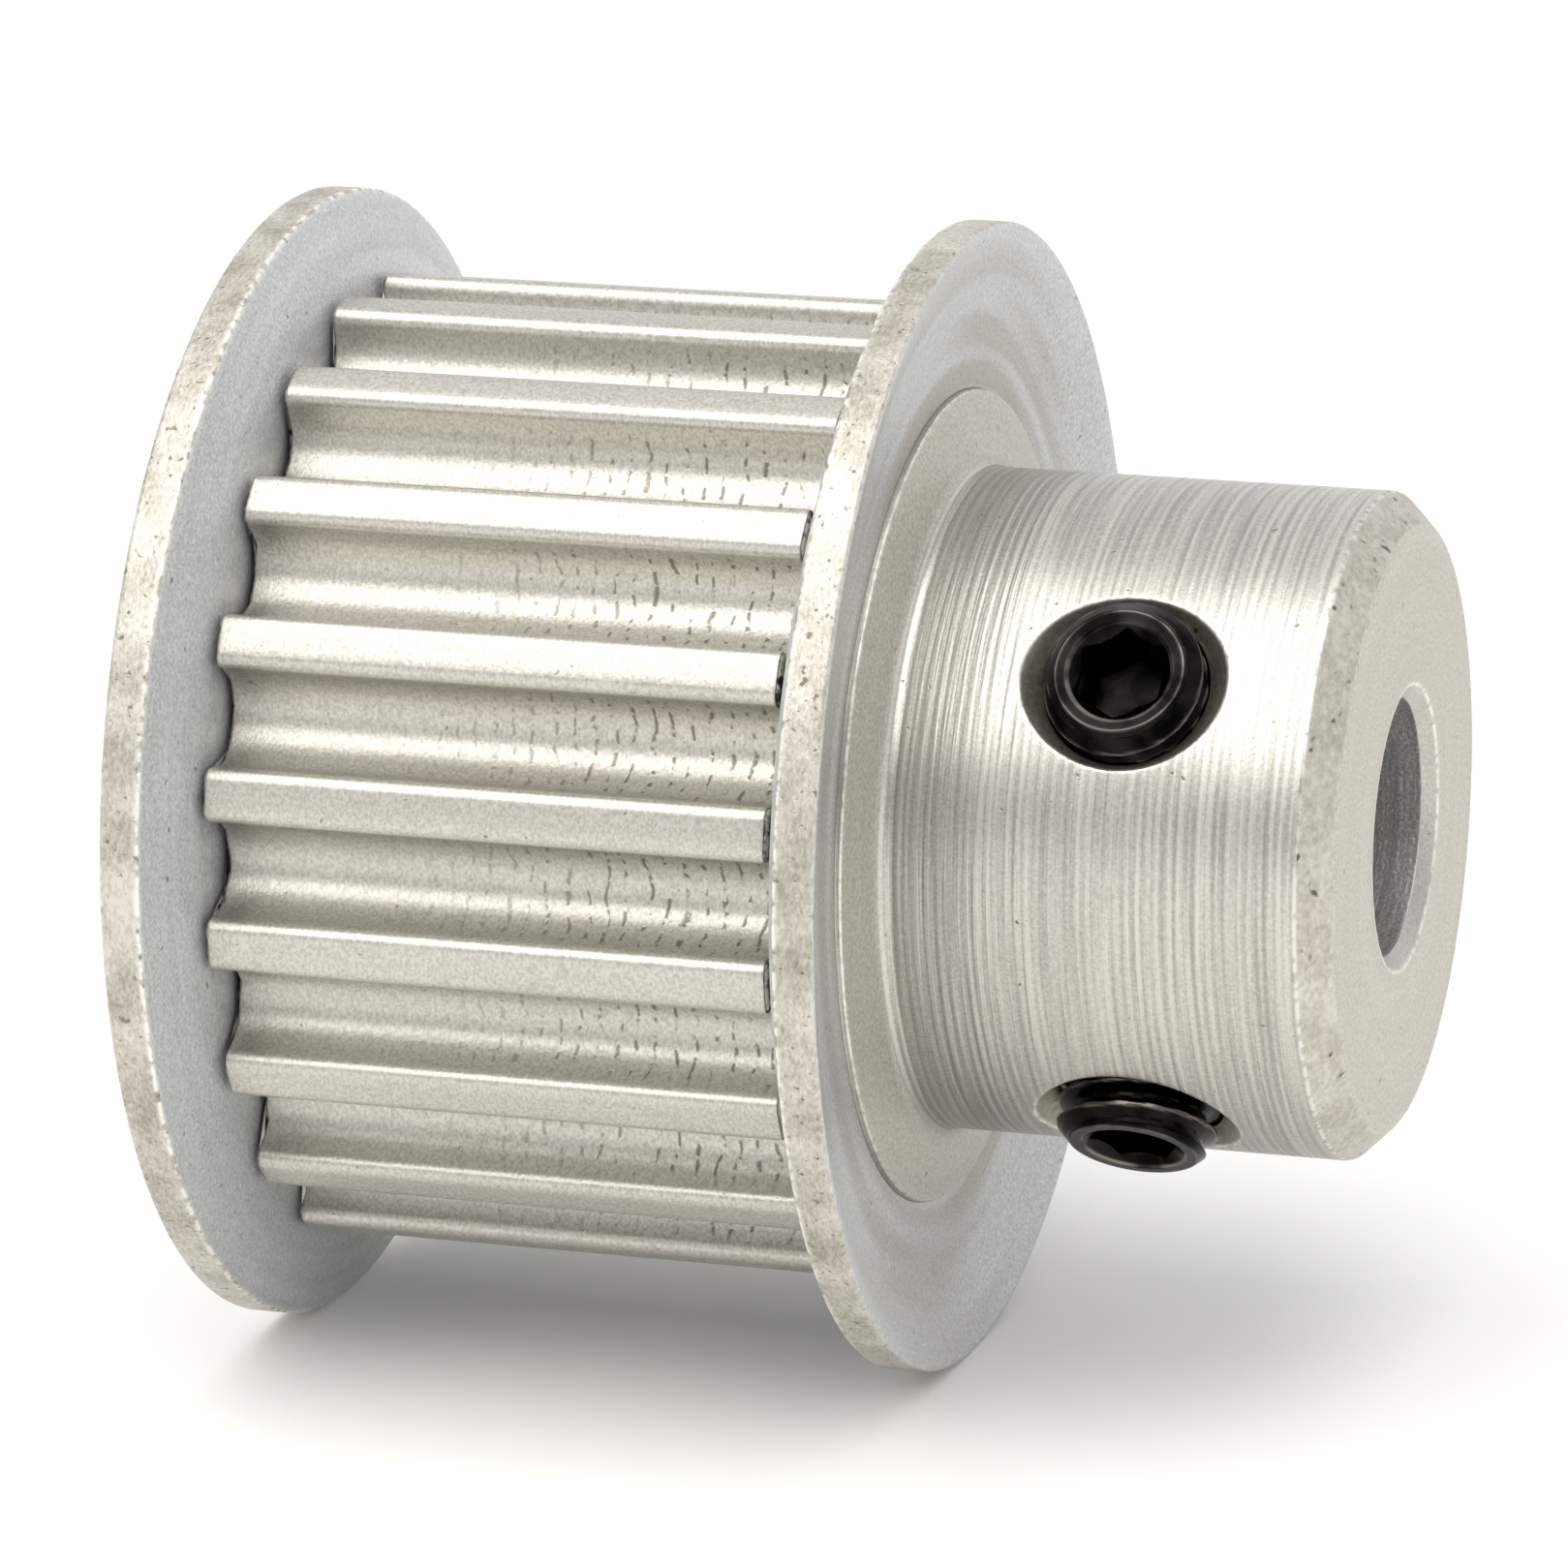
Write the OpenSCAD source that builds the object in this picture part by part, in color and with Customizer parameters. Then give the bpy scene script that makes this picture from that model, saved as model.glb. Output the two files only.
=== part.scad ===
// Timing belt pulley with two pressed-on flanges and a hub with two set screws.
// The bore runs along +X, towards the hub. The origin is on the bore axis, in the middle of the belt's track.
// Angles round the axis are counted from -Y, up towards +Z.

/* [Teeth] */
// Number of teeth
teeth = 20; // [20:1:40]
// Tooth pitch, measured along the belt's pitch line
pitch = 5; // [4.9:0.1:8]
// Distance from the tooth tips out to the belt's pitch line
pitch_line_offset = 0.5715; // [0.4:0.0005:0.8]
// Depth of a groove below the tooth tips
groove_depth = 2.06; // [1.6:0.01:2.1]
// Radius of the groove's round bottom, and half its width
groove_r = 1.5; // [1.2:0.01:1.6]
// Radius of the rounded edges of a tooth's land
tip_round = 0.4; // [0.2:0.01:0.5]
// Length of the teeth along the axis
face_w = 17.8; // [10:0.1:40]
// Angle of one tooth's land
land_angle = 8; // [0:0.5:18]

/* [Flanges] */
// Height of a flange's rim above the tooth tips
flange_rise = 2.65; // [1.5:0.05:5]
// Thickness of the flange sheet
flange_t = 1.25; // [0.8:0.05:2]
// Angle at which the rim leans away from the belt
flange_cone = 20; // [5:0.5:30]
// Width of flat flange that shows outside the tooth tips
flat_margin = 0.15; // [0.05:0.05:1]
// Gap between the ends of the teeth and a flange
seat_gap = 0.15; // [0.05:0.05:0.5]
// Radial clearance between a flange and its spigot
flange_clearance = 0.02; // [0.01:0.01:0.05]
// Size of the broken edges of a rim
rim_break = 0.1; // [0.05:0.05:0.3]

/* [Spigots] */
// Width of the spigot's face, from the hub out to the flange's hole
spigot_w = 2.05; // [1.6:0.05:2.4]
// Width of the shoulder that a flange seats on
shoulder_w = 0.5; // [0.3:0.05:0.8]
// Height of the staked lip above the flange
lip_h = 0.68; // [0.4:0.02:1]
// How far the lip is spread into the flange's chamfer
lip_flare = 0.35; // [0.2:0.05:0.6]

/* [Hub] */
// Diameter of the hub
hub_d = 20.7; // [16:0.1:21.4]
// Length of the hub beyond the spigot's face
hub_l = 13.87; // [11:0.01:30]
// Chamfer round the hub's end
hub_chamfer = 1; // [0.3:0.1:2]
// Fillet between the hub and the spigot's face
hub_fillet = 0.45; // [0.1:0.05:1]

/* [Bore] */
// Diameter of the bore
bore_d = 8; // [4:0.1:10]
// Chamfer at both ends of the bore
bore_chamfer = 0.45; // [0.1:0.05:0.8]

/* [Set screws] */
// Thread diameter
screw_d = 5; // [3:0.5:6]
// Length of a screw
screw_l = 6; // [5:0.5:10]
// Distance from the hub's end to the screws' axes
screw_inset = 6.85; // [4:0.05:8]
// Angle of the upper screw
screw_angle = 36; // [0:1:90]
// Angle from the upper screw down to the lower one
screw_spread = 90; // [90:1:120]
// Gap between the upper screw's point and the bore at rest
upper_gap = 0.95; // [0:0.05:3]
// Gap between the lower screw's point and the bore at rest
lower_gap = 1.2; // [0:0.05:3]
// Radial clearance between a screw and its hole
thread_clearance = 0.05; // [0.02:0.01:0.1]
// Width of the countersink round a screw's hole
countersink_w = 0.7; // [0.3:0.05:1]
// Width of the hexagon socket across its flats
hex_af = 2.5; // [1.5:0.5:3]
// Depth of the hexagon socket
hex_depth = 2.5; // [1.5:0.1:3]
// Width of the chamfer round the socket's mouth
socket_chamfer = 0.3; // [0.1:0.05:0.4]
// Chamfer round a screw's socket end
end_chamfer = 0.45; // [0.2:0.05:0.6]
// Diameter of the cup point's rim
cup_d = 2.5; // [1.2:0.1:3]
// Depth of the cup
cup_depth = 0.6; // [0.3:0.05:1]

/* [Hidden] */
$fn = 96;
arc_steps = 8;
overlap = 1;

tip_r = teeth * pitch / (2 * PI) - pitch_line_offset;
bore_r = bore_d / 2;
hub_r = hub_d / 2;
spigot_r = hub_r + spigot_w;
shoulder_r = spigot_r + shoulder_w;
flange_r = tip_r + flange_rise;

// Places along the axis on either side of the belt's middle: tooth ends, flange seat, flange face, spigot face
tooth_x = face_w / 2;
seat_x = tooth_x + seat_gap;
flange_x = seat_x + flange_t;
spigot_x = flange_x + lip_h;
hub_x = spigot_x + hub_l;

screw_r = screw_d / 2;
screw_hole_r = screw_r + thread_clearance;
screw_x = hub_x - screw_inset;

// Points along an arc about [x, y], from angle a to angle b
function arc(x, y, r, a, b) = [
    for (i = [0 : arc_steps])
        let (t = a + (b - a) * i / arc_steps)
        [x + r * cos(t), y + r * sin(t)]
];

// Turns a shape drawn round Z so that it lies round the bore axis
module along_bore() {
    rotate([0, 90, 0])
        children();
}

// Stands a shape drawn along Z on the bore axis, pointing outwards at an angle
module pointing_out(angle) {
    translate([screw_x, 0, 0])
        rotate([90 - angle, 0, 0])
            children();
}

// One groove on the +X side: round bottom, straight flanks, and rounded edges where it meets the tip circle
module groove() {
    centre_x = tip_r - groove_depth + groove_r;
    edge_y = groove_r + tip_round;
    edge_x = sqrt(pow(tip_r - tip_round, 2) - pow(edge_y, 2));
    reach = (tip_r + overlap) / (tip_r - tip_round);
    translate([centre_x, 0])
        circle(groove_r);
    translate([centre_x, -groove_r])
        square([groove_depth + overlap, 2 * groove_r]);
    for (side = [0, 1])
        mirror([0, side])
            difference() {
                polygon([
                    [edge_x, 0],
                    [tip_r + overlap, 0],
                    [edge_x * reach, edge_y * reach],
                    [edge_x, edge_y]
                ]);
                translate([edge_x, edge_y])
                    circle(tip_round);
            }
}

// Toothed ring, with a land at the angle 0
module teeth_ring() {
    step = 360 / teeth;
    linear_extrude(face_w, center = true)
        difference() {
            circle(tip_r);
            circle(shoulder_r - overlap);
            for (i = [0 : teeth - 1])
                rotate((i + 0.5) * step - 90)
                    groove();
        }
}

// Outline of half the turned shape of a spigot, from its shoulder out to the flat part of its face
function spigot_outline() = concat(
    [
        [shoulder_r, 0],
        [shoulder_r, seat_x],
        [spigot_r, seat_x],
        [spigot_r, flange_x - lip_flare]
    ],
    arc(spigot_r + lip_flare - lip_h, flange_x, lip_h, 0, 90)
);

// Front half of the turned blank: spigot, hub and bore
module hub_half() {
    rotate_extrude()
        polygon(concat(
            [[bore_r, 0]],
            spigot_outline(),
            arc(hub_r + hub_fillet, spigot_x + hub_fillet, hub_fillet, 270, 180),
            [
                [hub_r, hub_x - hub_chamfer],
                [hub_r - hub_chamfer, hub_x],
                [bore_r + bore_chamfer, hub_x],
                [bore_r, hub_x - bore_chamfer]
            ]
        ));
}

// Rear half of the turned blank: spigot and bore
module plain_half() {
    rotate_extrude()
        polygon(concat(
            [[bore_r, 0]],
            spigot_outline(),
            [
                [bore_r + bore_chamfer, spigot_x],
                [bore_r, spigot_x - bore_chamfer]
            ]
        ));
}

// Tapped hole from the bore out through the hub, with its countersink
module screw_hole(angle) {
    countersink_z = hub_r - countersink_w;
    cutter_h = countersink_w + overlap;
    pointing_out(angle) {
        cylinder(h = hub_r + overlap, r = screw_hole_r);
        translate([0, 0, countersink_z])
            cylinder(h = cutter_h, r1 = screw_hole_r, r2 = screw_hole_r + cutter_h);
    }
}

module pulley_body() {
    color("silver")
        difference() {
            union() {
                rotate([-land_angle, 0, 0])
                    along_bore()
                        teeth_ring();
                along_bore()
                    hub_half();
                mirror([1, 0, 0])
                    along_bore()
                        plain_half();
            }
            screw_hole(screw_angle);
            screw_hole(screw_angle - screw_spread);
        }
}

// Dished ring on the hub side: flat where it seats, then leaning away from the belt
module flange() {
    hole_r = spigot_r + flange_clearance;
    bend_r = tip_r + flat_margin;
    lean_x = seat_x + (flange_r - bend_r) * tan(flange_cone);
    rim_x = lean_x + flange_t / cos(flange_cone);
    inner_slope = rim_break * tan(flange_cone);
    along_bore()
        rotate_extrude()
            polygon([
                [hole_r, seat_x],
                [bend_r, seat_x],
                [flange_r - rim_break, lean_x - inner_slope],
                [flange_r, lean_x + rim_break],
                [flange_r, rim_x - rim_break],
                [flange_r - rim_break, rim_x - inner_slope],
                [bend_r - flange_t * tan(flange_cone / 2), flange_x],
                [hole_r + lip_flare, flange_x],
                [hole_r, flange_x - lip_flare]
            ]);
}

module front_flange() {
    color("lightgray")
        flange();
}

module rear_flange() {
    color("lightgray")
        mirror([1, 0, 0])
            flange();
}

// Set screw pointing outwards, with its cup point the given gap short of the bore
module set_screw(angle, gap, hex_turn) {
    point_z = bore_r + gap;
    end_z = point_z + screw_l;
    cup_r = cup_d / 2;
    hex_r = hex_af / 2 / cos(30);
    mouth_r = hex_r + socket_chamfer;
    cone_r = hex_af / 2 - socket_chamfer;
    cone_h = mouth_r - cone_r;
    pointing_out(angle)
        difference() {
            rotate_extrude()
                polygon([
                    [0, point_z + cup_depth],
                    [cup_r, point_z],
                    [screw_r, point_z + screw_r - cup_r],
                    [screw_r, end_z - end_chamfer],
                    [screw_r - end_chamfer, end_z],
                    [0, end_z]
                ]);
            translate([0, 0, end_z - hex_depth])
                rotate(hex_turn)
                    cylinder(h = hex_depth + overlap, r = hex_r, $fn = 6);
            translate([0, 0, end_z - cone_h])
                cylinder(h = cone_h + overlap, r1 = cone_r, r2 = mouth_r + overlap);
        }
}

module upper_set_screw() {
    color("dimgray")
        set_screw(screw_angle, upper_gap, 30);
}

module lower_set_screw() {
    color("dimgray")
        set_screw(screw_angle - screw_spread, lower_gap, 0);
}

pulley_body();
rear_flange();
front_flange();
upper_set_screw();
lower_set_screw();
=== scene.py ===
import math
import bmesh
import bpy
import numpy as np
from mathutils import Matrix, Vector


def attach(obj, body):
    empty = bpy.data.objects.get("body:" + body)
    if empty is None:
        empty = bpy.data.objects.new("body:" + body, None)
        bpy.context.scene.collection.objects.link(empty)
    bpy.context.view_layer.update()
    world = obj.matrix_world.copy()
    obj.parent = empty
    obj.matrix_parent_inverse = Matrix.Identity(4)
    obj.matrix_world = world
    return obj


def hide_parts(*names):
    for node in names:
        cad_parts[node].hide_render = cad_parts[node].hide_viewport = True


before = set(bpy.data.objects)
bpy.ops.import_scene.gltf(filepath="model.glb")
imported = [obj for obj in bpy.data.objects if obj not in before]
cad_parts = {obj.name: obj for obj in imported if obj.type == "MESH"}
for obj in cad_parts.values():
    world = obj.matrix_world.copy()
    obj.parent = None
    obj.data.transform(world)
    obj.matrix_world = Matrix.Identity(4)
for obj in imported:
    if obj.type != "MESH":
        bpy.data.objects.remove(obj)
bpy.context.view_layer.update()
print("frame loaded:", ", ".join(sorted(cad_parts)))

mm = 0.001
tiny = 1e-6  # in millimetres, less than any real step of a profile


def roundCorners(corners, steps):
    # Each corner (x, r, radius) becomes an arc that touches both of its sides. The arc starts radius / tan(half the
    # corner's angle) before the corner, and turns evenly about its centre. A radius of 0 leaves the corner sharp.
    corners = np.array(corners, float)
    points, radius = corners[:, :2], corners[:, 2:]
    back, ahead = np.roll(points, 1, 0) - points, np.roll(points, -1, 0) - points
    back /= np.linalg.norm(back, axis=1, keepdims=True)
    ahead /= np.linalg.norm(ahead, axis=1, keepdims=True)
    half = np.arccos(np.clip((back * ahead).sum(1, keepdims=True), -1, 1)) / 2
    middle = back + ahead
    middle /= np.maximum(np.linalg.norm(middle, axis=1, keepdims=True), tiny)
    centre = points + middle * radius / np.sin(half)
    start = points + back * radius / np.tan(half) - centre
    end = points + ahead * radius / np.tan(half) - centre
    turn = np.maximum(np.pi - 2 * half[:, None], tiny)
    share = np.linspace(0, 1, steps)[None, :, None]
    swept = np.sin((1 - share) * turn) * start[:, None] + np.sin(share * turn) * end[:, None]
    line = (centre[:, None] + swept / np.sin(turn)).reshape(-1, 2)
    return line[np.linalg.norm(line - np.roll(line, 1, 0), axis=1) > tiny]


def supportRows(line, reach):
    # Points at one and two reaches from both ends of every side longer than six, so that the wear and the shading
    # of a corner stay beside it.
    side = np.diff(line, axis=0)
    length = np.linalg.norm(side, axis=1)[:, None]
    near = np.array([1, 2]) * reach / length
    shares = np.concatenate([0 * length, near, 1 - near[:, ::-1]], 1)
    keep = np.broadcast_to(length > 6 * reach, shares.shape).copy()
    keep[:, 0] = True
    return np.concatenate([(line[:-1, None] + shares[..., None] * side[:, None])[keep], line[-1:]])


def turned(profile, angles):
    # A profile of (x, r) points carried round the bore axis: y = -r cos(angle), z = r sin(angle).
    x, r = profile[:, :1], profile[:, 1:]
    return np.stack(np.broadcast_arrays(x, -r * np.cos(angles), r * np.sin(angles)), -1)


def outwards(p, q, h, angle, x):
    # Local p along the bore, q round it and h out from its axis, stood on the axis at x and turned to an angle.
    c, s = math.cos(math.radians(angle)), math.sin(math.radians(angle))
    return np.stack(np.broadcast_arrays(x + p, s * q - c * h, c * q + s * h), -1)


def gridQuads(rows, columns, wrapRows=False, wrapColumns=True):
    # One quad for every cell of a grid of points. A grid that wraps is joined from its last line to its first.
    row = np.arange(rows if wrapRows else rows - 1)[:, None]
    column = np.arange(columns if wrapColumns else columns - 1)[None, :]
    nextRow, nextColumn = (row + 1) % rows * columns, (column + 1) % columns
    row = row * columns
    return np.stack(np.broadcast_arrays(row + column, row + nextColumn, nextRow + nextColumn, nextRow + column), -1)


def smoothMin(a, b, width):
    # The lower of two heights, with the crease between them rounded over a width.
    share = np.clip(0.5 + 0.5 * (b - a) / width, 0, 1)
    return b + (a - b) * share - width * share * (1 - share)


def threadWave(turns, crest=0.14, root=0.22):
    # A thread's section over one pitch, from 0 at the crest to 1 at the root: a triangle wave with both of its
    # ends cut flat, each over its own share of the wave's height.
    wave = 1 - np.abs(2 * (turns % 1) - 1)
    return np.clip((wave - crest) / (1 - crest - root), 0, 1)


def nearEdges(x, r, edges, width):
    # 1 on a turned edge, falling off as exp(-(distance / width)^2), for the nearest of the edges (x, r)
    edges = np.array(edges, float)
    away = np.hypot(x[..., None] - edges[:, 0], r[..., None] - edges[:, 1]).min(-1)
    return np.exp(-(away / width) ** 2)


skin = {"mergeDistance": 0.0002 * mm, "sliver": 0.00001 * mm, "sharpAngle": 38}


def makePiece(name, patches, pickMaterial=None):
    # Patches of points, quads and wear joined into one closed skin: doubles merged, faces turned outwards, shading
    # smooth up to the sharp angle and weighted towards larger faces, so that flats stay flat beside rounded edges.
    counts = np.cumsum([0] + [points.reshape(-1, 3).shape[0] for points, quads, wear in patches])
    verts = np.concatenate([points.reshape(-1, 3) for points, quads, wear in patches]) * mm
    worn = np.concatenate([np.broadcast_to(wear, points.shape[:-1]).ravel() for points, quads, wear in patches])
    quads = np.concatenate([patch[1].reshape(-1, 4) + start for patch, start in zip(patches, counts)])
    mesh = bpy.data.meshes.new(name)
    mesh.vertices.add(len(verts))
    mesh.vertices.foreach_set("co", verts.astype(np.float32).ravel())
    mesh.attributes.new("wear", "FLOAT", "POINT").data.foreach_set("value", worn.astype(np.float32))
    mesh.loops.add(quads.size)
    mesh.loops.foreach_set("vertex_index", quads.astype(np.int32).ravel())
    mesh.polygons.add(len(quads))
    mesh.polygons.foreach_set("loop_start", np.arange(0, quads.size, 4, dtype=np.int32))
    mesh.update(calc_edges=True)
    work = bmesh.new()
    work.from_mesh(mesh)
    bmesh.ops.remove_doubles(work, verts=work.verts, dist=skin["mergeDistance"])
    bmesh.ops.dissolve_degenerate(work, edges=work.edges, dist=skin["sliver"])
    bmesh.ops.recalc_face_normals(work, faces=work.faces)
    openEdges = sum(not e.is_manifold for e in work.edges)
    work.to_mesh(mesh)
    work.free()
    mesh.validate()
    mesh.shade_smooth()
    mesh.set_sharp_from_angle(angle=math.radians(skin["sharpAngle"]))
    if pickMaterial:
        centres = np.empty(len(mesh.polygons) * 3, np.float32)
        mesh.polygons.foreach_get("center", centres)
        normals = np.empty(len(mesh.polygons) * 3, np.float32)
        mesh.polygons.foreach_get("normal", normals)
        picked = pickMaterial(centres.reshape(-1, 3) / mm, normals.reshape(-1, 3))
        mesh.polygons.foreach_set("material_index", picked.astype(np.int32))
    piece = bpy.data.objects.new(name, mesh)
    bpy.context.scene.collection.objects.link(piece)
    shading = piece.modifiers.new("flatFaces", "WEIGHTED_NORMAL")
    shading.keep_sharp = True
    print(f"{name}: {len(mesh.polygons)} faces, {openEdges} open edges")
    return piece


def colour(hexCode):
    # sRGB hex to linear RGBA: a power of 2.4 above 0.04045 and a straight line below it
    parts = [int(hexCode[i:i + 2], 16) / 255 for i in (1, 3, 5)]
    return tuple(c / 12.92 if c <= 0.04045 else ((c + 0.055) / 1.055) ** 2.4 for c in parts) + (1,)


def perMm(size):
    # how often a pattern of this size in millimetres repeats in a metre, for one size or for sizes along x, y and z
    return (1 / (np.array(size, float) * mm)).tolist()


def addNode(tree, kind, inputs={}, **settings):
    # One node with its settings. An input takes a plain value, or is linked to another node or one of its outputs.
    # Sockets that share a name are given by number: a colour Mix has its share at 0 and its colours at 6 and 7.
    node = tree.nodes.new(kind)
    for name, value in settings.items():
        setattr(node, name, value)
    for socket, value in inputs.items():
        if isinstance(value, bpy.types.Node):
            value = next(output for output in value.outputs if output.enabled)
        if isinstance(value, bpy.types.NodeSocket):
            tree.links.new(value, node.inputs[socket])
        else:
            node.inputs[socket].default_value = value
    return node


def newMaterial(name):
    # an empty tree and the piece's own coordinates
    material = bpy.data.materials.new(name)
    material.use_nodes = True
    material.node_tree.nodes.clear()
    place = addNode(material.node_tree, "ShaderNodeTexCoord").outputs["Object"]
    return material, material.node_tree, place


rubbing = {"patch": 0.35, "range": (0.4, 0.55)}  # edges are rubbed bare in patches of about this size


def pittedAndRubbed(tree, place, base, spec):
    # Scattered small dark pits over the base colour, and bright bare metal along the edges that the mesh calls worn.
    spots = addNode(tree, "ShaderNodeTexNoise", {"Vector": place, "Scale": perMm(spec["pitSize"]), "Detail": 1.0})
    low, high = spec["pitRange"]
    pits = addNode(tree, "ShaderNodeMapRange", {"Value": spots, "From Min": low, "From Max": high})
    wear = addNode(tree, "ShaderNodeAttribute", attribute_name="wear").outputs["Fac"]
    patchy = addNode(tree, "ShaderNodeTexNoise", {"Vector": place, "Scale": perMm(rubbing["patch"]), "Detail": 2.0})
    low, high = rubbing["range"]
    left = addNode(tree, "ShaderNodeMapRange", {
        "Value": patchy, "From Min": low, "From Max": high, "To Min": spec["rubMin"],
    })
    rubbed = addNode(tree, "ShaderNodeMath", {0: wear, 1: left}, operation="MULTIPLY")
    base = addNode(tree, "ShaderNodeMix", {0: pits, 6: base, 7: colour(spec["pit"])}, data_type="RGBA")
    return pits, addNode(tree, "ShaderNodeMix", {0: rubbed, 6: base, 7: colour(spec["worn"])}, data_type="RGBA")


def closeMaterial(tree, spec, base, height):
    # the shader, with its constants on its own sockets
    bump = addNode(tree, "ShaderNodeBump", {"Height": height, "Strength": 1.0, "Distance": spec["bump"] * mm})
    shader = addNode(tree, "ShaderNodeBsdfPrincipled", {
        "Base Color": base, "Normal": bump, "Metallic": spec["metallic"], "Roughness": spec["roughness"],
    })
    addNode(tree, "ShaderNodeOutputMaterial", {"Surface": shader})


# Sizes in millimetres. The real feed marks and grain are finer than these and wouldn't show, so they are coarser
# here. Two colours are the two ends of the metal's tone, and the shares say how much of the tone each pattern makes.
turnedFinish = {
    "pale": "#d0cdc6", "dark": "#a3a19c", "worn": "#f1eee7", "pit": "#857f74", "rubMin": 0.15,
    "feedMark": (0.14, 7.0, 7.0), "feedStep": 0.31, "feedShare": 0.55, "toolBand": (1.3, 22.0, 22.0),
    "grain": 0.10, "pitSize": 0.26, "pitRange": (0.75, 0.82),
    "lineShare": 0.5, "bandShare": 0.15, "grainShare": 0.35, "toneRange": (0.44, 0.68),
    "bump": 0.020, "grainBump": 0.25, "roughness": 0.33, "metallic": 0.92,
}
facedFinish = {
    "pale": "#cbc7be", "dark": "#aba79f", "worn": "#e2ded4", "pit": "#8d8675", "rubMin": 0.2,
    "feedMark": (0.22, 9.0, 9.0), "feedStep": 0.4, "feedShare": 0.0, "toolBand": (1.2, 16.0, 16.0),
    "grain": 0.12, "pitSize": 0.32, "pitRange": (0.73, 0.82),
    "lineShare": 0.1, "bandShare": 0.12, "grainShare": 0.78, "toneRange": (0.36, 0.64),
    "bump": 0.012, "grainBump": 1.0, "roughness": 0.5, "metallic": 0.55,
}
sheetFinish = {
    "pale": "#dcdedf", "dark": "#b6b8b9", "worn": "#f4f2ec", "pit": "#8f8d88", "rubMin": 0.3,
    "feedMark": (0.45, 12.0, 12.0), "feedStep": 0.9, "feedShare": 0.0, "toolBand": (1.1, 16.0, 16.0),
    "grain": 0.12, "pitSize": 0.3, "pitRange": (0.74, 0.80),
    "lineShare": 0.12, "bandShare": 0.2, "grainShare": 0.68, "toneRange": (0.36, 0.64),
    "bump": 0.022, "grainBump": 1.4, "roughness": 0.46, "metallic": 0.5,
    # the last keys paint the hub's darker reflection and the dish's shade onto the outer faces
    "hubReflectionTone": "#c9c1b6", "innerRadius": (13.0, 21.0), "innerShare": 0.95,
    "innerRings": (0.4, 0.6), "ringFloor": 0.3, "outerFaceX": (10.1, 10.2),
}
boreFinish = {
    "pale": "#d3d2d0", "dark": "#a3a2a0", "worn": "#efede8", "pit": "#7f7c76", "rubMin": 0.5,
    "feedMark": (0.3, 9.0, 9.0), "feedStep": 0.5, "feedShare": 0.0, "toolBand": (1.5, 6.0, 6.0),
    "grain": 0.12, "pitSize": 0.3, "pitRange": (0.76, 0.84),
    "lineShare": 0.3, "bandShare": 0.3, "grainShare": 0.4, "toneRange": (0.42, 0.58),
    "bump": 0.020, "grainBump": 0.9, "roughness": 0.42, "metallic": 0.75,
}


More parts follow.
